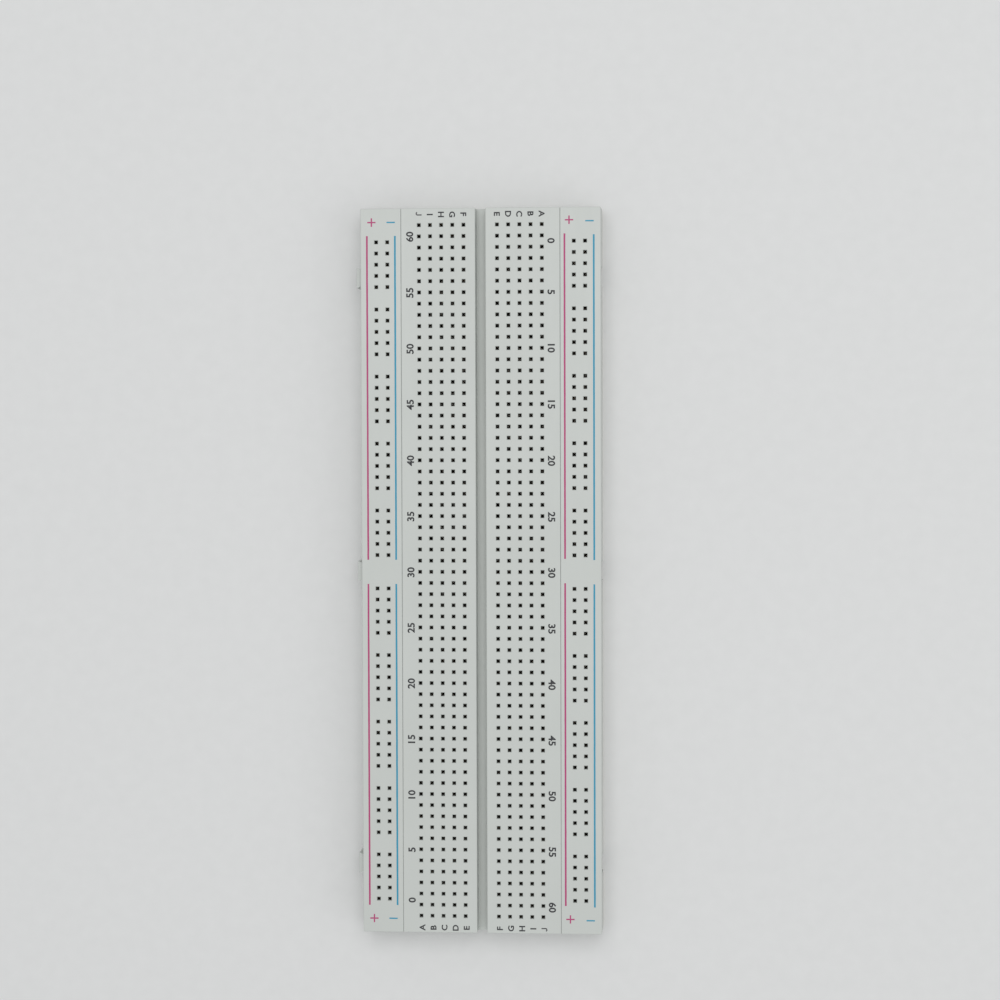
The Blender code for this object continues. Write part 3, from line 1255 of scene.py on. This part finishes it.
PLASTIC = MouldedPlastic("off_white_abs", (0.575, 0.595, 0.570), (0.52, 0.54, 0.513), 0.36, 0.54)
SHEET = PlatedSheet("plated_spring_bronze", (0.66, 0.62, 0.55), (0.42, 0.38, 0.33), 0.25, 0.45)
RED = ScreenInk("magenta_red_ink", (0.46, 0.05, 0.18), (0.40, 0.04, 0.15), 0.42, 0.58)
BLUE = ScreenInk("sky_blue_ink", (0.02, 0.29, 0.45), (0.016, 0.25, 0.39), 0.42, 0.58)
GREY = ScreenInk("dark_grey_ink", (0.045, 0.045, 0.05), (0.03, 0.03, 0.034), 0.45, 0.6)
# The foam's dark tint is painted shade in the hollow middle of each cell.
FOAM = CellFoam("adhesive_foam", (0.84, 0.84, 0.80), (0.60, 0.60, 0.56), 0.85, 0.97)
PAPER = WaxedPaper("liner_paper", (0.80, 0.70, 0.46), (0.70, 0.59, 0.37), 0.34, 0.5)


# ---------------------------------------------------------------- the board


@dataclass(frozen=True)
class LabelPlan:
    """Where the terminal strip's letters and numbers lie, and how tall they are.

    The numbers' two columns are given by their x and how far they are printed off the rows, and
    the right one is printed slightly longer. The zero stands a part of a pitch off its row.
    """

    letter_cap: float = 1.35 * MM
    number_cap: float = 1.66 * MM
    upper_letters: Point2 = (0.0, 81.1 * MM)
    lower_letters: Point2 = (0.25 * MM, -81.4 * MM)
    j_overhang: float = 0.22 * MM
    left_numbers: Point2 = (-16.05 * MM, -0.08 * MM)
    right_numbers: Point2 = (16.07 * MM, -0.18 * MM)
    right_growth: float = 1.0015
    zero_shift: float = 0.45
    number_step: int = 5

    def letters(self, columns: list[float]) -> list[Label]:
        """The column letters, first along the upper end and then along the lower one.

        Args:
            columns: The x of every column.

        Returns:
            The labels.
        """
        ends = (
            ("JIHGFEDCBA", self.upper_letters, Turn.CLOCKWISE, 1),
            ("ABCDEFGHIJ", self.lower_letters, Turn.COUNTERCLOCKWISE, -1),
        )
        labels = []
        for texts, (shift, y), turn, outward in ends:
            for text, x in zip(texts, columns):
                overhang = outward * self.j_overhang if text == "J" else 0.0
                labels.append(Label(text, (x + shift, y + overhang), turn, self.letter_cap))
        return labels

    def numbers(self, rows: int, pitch: float) -> list[Label]:
        """The row numbers, which run up the left side and down the right one.

        Args:
            rows: How many rows there are.
            pitch: The pitch.

        Returns:
            The labels.
        """
        labels = []
        for number in range(0, rows, self.number_step):
            place = (number - rows // 2 + 1) * pitch
            if number == 0:
                place += self.zero_shift * pitch
            left = (self.left_numbers[0], place + self.left_numbers[1])
            right = (self.right_numbers[0], -self.right_growth * place + self.right_numbers[1])
            labels.append(Label(str(number), left, Turn.COUNTERCLOCKWISE, self.number_cap))
            labels.append(Label(str(number), right, Turn.CLOCKWISE, self.number_cap))
        return labels


@dataclass
class Breadboard:
    """The whole board: its strips, clips, print and backing."""

    grid: Grid = field(default_factory=Grid)
    levels: Levels = field(default_factory=read_levels)
    effects: Effects = field(default_factory=Effects)
    plan: LabelPlan = field(default_factory=LabelPlan)
    channel: float = 2.3 * MM
    pocket_overrun: float = 1.0 * MM
    tab_inset: float = 15.55 * MM

    def __post_init__(self) -> None:
        """Makes the finishes and reads where the tabs stand."""
        self.plastic, self.sheet, self.red, self.blue, self.grey, self.foam, self.paper = (
            finish.make(self.effects) for finish in (PLASTIC, SHEET, RED, BLUE, GREY, FOAM, PAPER)
        )
        self.print = Print(self.levels)
        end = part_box("rail_strip_right")[1].y - self.tab_inset
        self.tabs = Tabs((-end, 0.0, end))

    def side_box(self, strip: Strip) -> tuple[Vector, Vector]:
        """The box of a strip's moulding without its tabs.

        Args:
            strip: The strip.

        Returns:
            Its lowest and highest corner.
        """
        low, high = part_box(strip.moulding_nodes[0])[0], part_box(strip.moulding_nodes[-1])[1]
        return Vector((low.x + self.tabs.reach, low.y, low.z)), high

    def rail_columns(self, strip: Strip) -> list[float]:
        """The x of a rail strip's columns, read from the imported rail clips."""
        nodes = (f"rail_clip_{strip.label}_{pole}_lower" for pole in ("plus", "minus"))
        return sorted(sum(corner.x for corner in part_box(node)) / 2 for node in nodes)

    def fields(self, strip: Strip, low: Vector, high: Vector) -> list[PocketField]:
        """A strip's two fields of tie points: banks beside the channel, or halves of a rail.

        Args:
            strip: The strip.
            low: The lowest corner of its moulding.
            high: The highest corner of its moulding.

        Returns:
            The fields.
        """
        banked = strip is Strip.TERMINAL
        fields, over = [], self.pocket_overrun
        for side in (-1, 1):
            columns = self.grid.bank(side) if banked else self.rail_columns(strip)
            rows = self.grid.row_places() if banked else self.grid.rail_half(side)
            xs = (columns[0] - over, columns[-1] + over) if banked else (low.x, high.x)
            ys = (low.y, high.y) if banked else (rows[0] - over, rows[-1] + over)
            fields.append(PocketField(columns, rows, *zip(xs, ys), per_row=banked))
        return fields

    def moulding(self, strip: Strip) -> None:
        """A strip's moulding, which has the centre channel if it is the terminal strip's."""
        low, high = self.side_box(strip)
        channel = self.channel if strip is Strip.TERMINAL else 0.0
        fields = self.fields(strip, low, high)
        piece = Moulding(strip, low, high, self.levels, self.tabs, fields, channel).build()
        register(piece, strip, self.plastic, strip.moulding_nodes)

    def terminal_clips(self) -> None:
        """The five-point clips, one for each row of each bank."""
        for side, label in ((-1, "left"), (1, "right")):
            name = f"row_clips_{label}"
            clips = SpringClips(name, 0, [self.grid.bank(side)], self.grid.row_places(), self.levels)
            register(clips.build(), Strip.TERMINAL, self.sheet, nodes_of(f"{name}_"))

    def rail_clips(self, strip: Strip) -> None:
        """The long clips of a rail strip, one for each half of each column."""
        runs = [self.grid.rail_half(side) for side in (-1, 1)]
        clips = SpringClips(f"rail_clips_{strip.label}", 1, runs, self.rail_columns(strip), self.levels)
        register(clips.build(), strip, self.sheet, nodes_of(f"rail_clip_{strip.label}_"))

    def terminal_print(self) -> None:
        """Prints the letters and numbers."""
        letters = self.plan.letters(self.grid.bank(-1) + self.grid.bank(1))
        numbers = self.plan.numbers(self.grid.rows, self.grid.pitch)
        for name, labels in (("column_letters", letters), ("row_numbers", numbers)):
            register(self.print.lettering(name, labels), Strip.TERMINAL, self.grey)

    def rail_print(self, strip: Strip, layout: RailPrint) -> None:
        """Prints a rail strip's stripes and signs.

        Args:
            strip: The strip.
            layout: Where its print lies.
        """
        low, high = self.side_box(strip)
        middle = (low.x + high.x) / 2
        pieces = (
            ("red_stripe", layout.stripe_bars(middle + layout.red, layout.red_rise), self.red),
            ("blue_stripe", layout.stripe_bars(middle + layout.blue, 0.0), self.blue),
            ("plus_signs", layout.plus_bars(middle), self.red),
            ("minus_signs", layout.minus_bars(middle), self.blue),
        )
        for name, bars, ink in pieces:
            register(self.print.bars(f"{name}_{strip.label}", bars), strip, ink)

    def backing(self, strip: Strip) -> None:
        """The foam pad and release liner below a strip."""
        side = self.side_box(strip)[1].x
        pad, liner = f"foam_pad_{strip.label}", f"release_liner_{strip.label}"
        low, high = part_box(pad)
        low.z, high.z = self.levels.liner_top, self.levels.underside
        cut = {"layers": 3, "edge_round": 0.25 * MM, "uneven": 0.07 * MM, "seed": 11}
        foam = Backing(f"{pad}_cut", low, high, side, self.tabs, **cut).build()
        register(foam, strip, self.foam, (pad,))
        cut = {"layers": 0, "edge_round": 0.15 * MM, "uneven": 0.03 * MM, "seed": 12}
        paper = Backing(f"{liner}_sheet", *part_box(liner), side, self.tabs, **cut).build()
        register(paper, strip, self.paper, (liner,))

    def build(self) -> None:
        """Builds every piece in order."""
        self.moulding(Strip.TERMINAL)
        self.terminal_clips()
        self.terminal_print()
        layouts = {
            Strip.RAIL_LEFT: RailPrint(-3.1 * MM, 3.3 * MM, -2.05 * MM, 2.35 * MM),
            Strip.RAIL_RIGHT: RailPrint(-3.62 * MM, 3.0 * MM, -2.57 * MM, 2.05 * MM, red_rise=0.25 * MM),
        }
        for strip, layout in layouts.items():
            self.moulding(strip)
            self.rail_clips(strip)
            self.rail_print(strip, layout)
        for strip in Strip:
            self.backing(strip)


# ---------------------------------------------------------------- the studio


@dataclass(frozen=True)
class SoftLight:
    """A square soft light, with its side in metres and its power in watts."""

    name: str
    place: tuple[float, float, float]
    size: float
    power: float

    def hang(self) -> None:
        """Hangs the light in its place and points it at the board."""
        lamp = bpy.data.lights.new(self.name, "AREA")
        lamp.size, lamp.energy = self.size, self.power
        holder = bpy.data.objects.new(self.name, lamp)
        holder.location = self.place
        holder.rotation_euler = (-Vector(self.place)).to_track_quat("-Z", "Y").to_euler()
        bpy.context.scene.collection.objects.link(holder)


@dataclass(frozen=True)
class Studio:
    """The pale floor, the soft lights and the camera above the board."""

    camera_place: tuple[float, float, float] = (0.05234, 0.03526, 0.60030)
    camera_turn: tuple[float, float, float] = (-1.84, 4.643, -0.166)
    lens: float = 94.0
    sensor: float = 36.0
    clip: Point2 = (0.01, 10.0)
    floor_gap: float = 0.05 * MM
    floor_half: float = 2.0
    floor_grain: float = 300.0
    floor_dark: Colour = (0.70, 0.70, 0.695)
    floor_light: Colour = (0.74, 0.74, 0.735)
    floor_rough: float = 0.9
    sky_colour: Colour = (0.97, 0.99, 1.0)
    sky_strength: float = 0.58
    lights: tuple[SoftLight, ...] = (
        SoftLight("key", (0.03, 0.25, 1.0), 0.7, 4.0),
        SoftLight("fill", (0.8, -0.25, 0.8), 0.8, 1.3),
    )

    def floor(self) -> None:
        """A large pale floor with a trace of paper grain."""
        shape = bmesh.new()
        bmesh.ops.create_grid(shape, x_segments=8, y_segments=8, size=self.floor_half)
        bmesh.ops.translate(shape, vec=(0, 0, -self.floor_gap), verts=shape.verts)
        floor = finished("studio_floor", shape)
        material = bpy.data.materials.new("studio_paper")
        material.use_nodes = True
        sketch = Sketch(material.node_tree)
        shader = material.node_tree.nodes["Principled BSDF"]
        noise = sketch.noise(sketch.add("TexCoord").outputs["Object"], self.floor_grain, 2.0)
        tint = sketch.blend(noise, self.floor_dark, self.floor_light)
        sketch.tree.links.new(tint, shader.inputs["Base Color"])
        shader.inputs["Roughness"].default_value = self.floor_rough
        floor.data.materials.append(material)

    def sky(self) -> None:
        """Even white light from all round."""
        world = bpy.data.worlds.new("studio")
        world.use_nodes = True
        background = world.node_tree.nodes["Background"]
        background.inputs["Color"].default_value = (*self.sky_colour, 1.0)
        background.inputs["Strength"].default_value = self.sky_strength
        bpy.context.scene.world = world

    def camera(self) -> None:
        """The camera, nearly straight above the board."""
        data = bpy.data.cameras.new("camera")
        data.lens, data.sensor_width = self.lens, self.sensor
        data.clip_start, data.clip_end = self.clip
        holder = bpy.data.objects.new("camera", data)
        holder.location = self.camera_place
        holder.rotation_euler = [math.radians(angle) for angle in self.camera_turn]
        bpy.context.scene.collection.objects.link(holder)
        bpy.context.scene.camera = holder

    def build(self) -> None:
        """Sets up the floor, the lights and the camera."""
        bpy.context.scene.view_settings.view_transform = "Standard"
        self.floor()
        self.sky()
        for light in self.lights:
            light.hang()
        self.camera()


def main() -> None:
    """Builds the studio and the board."""
    logging.basicConfig(level=logging.INFO, format="%(message)s")
    Studio().build()
    Breadboard().build()


if __name__ == "__main__":
    main()
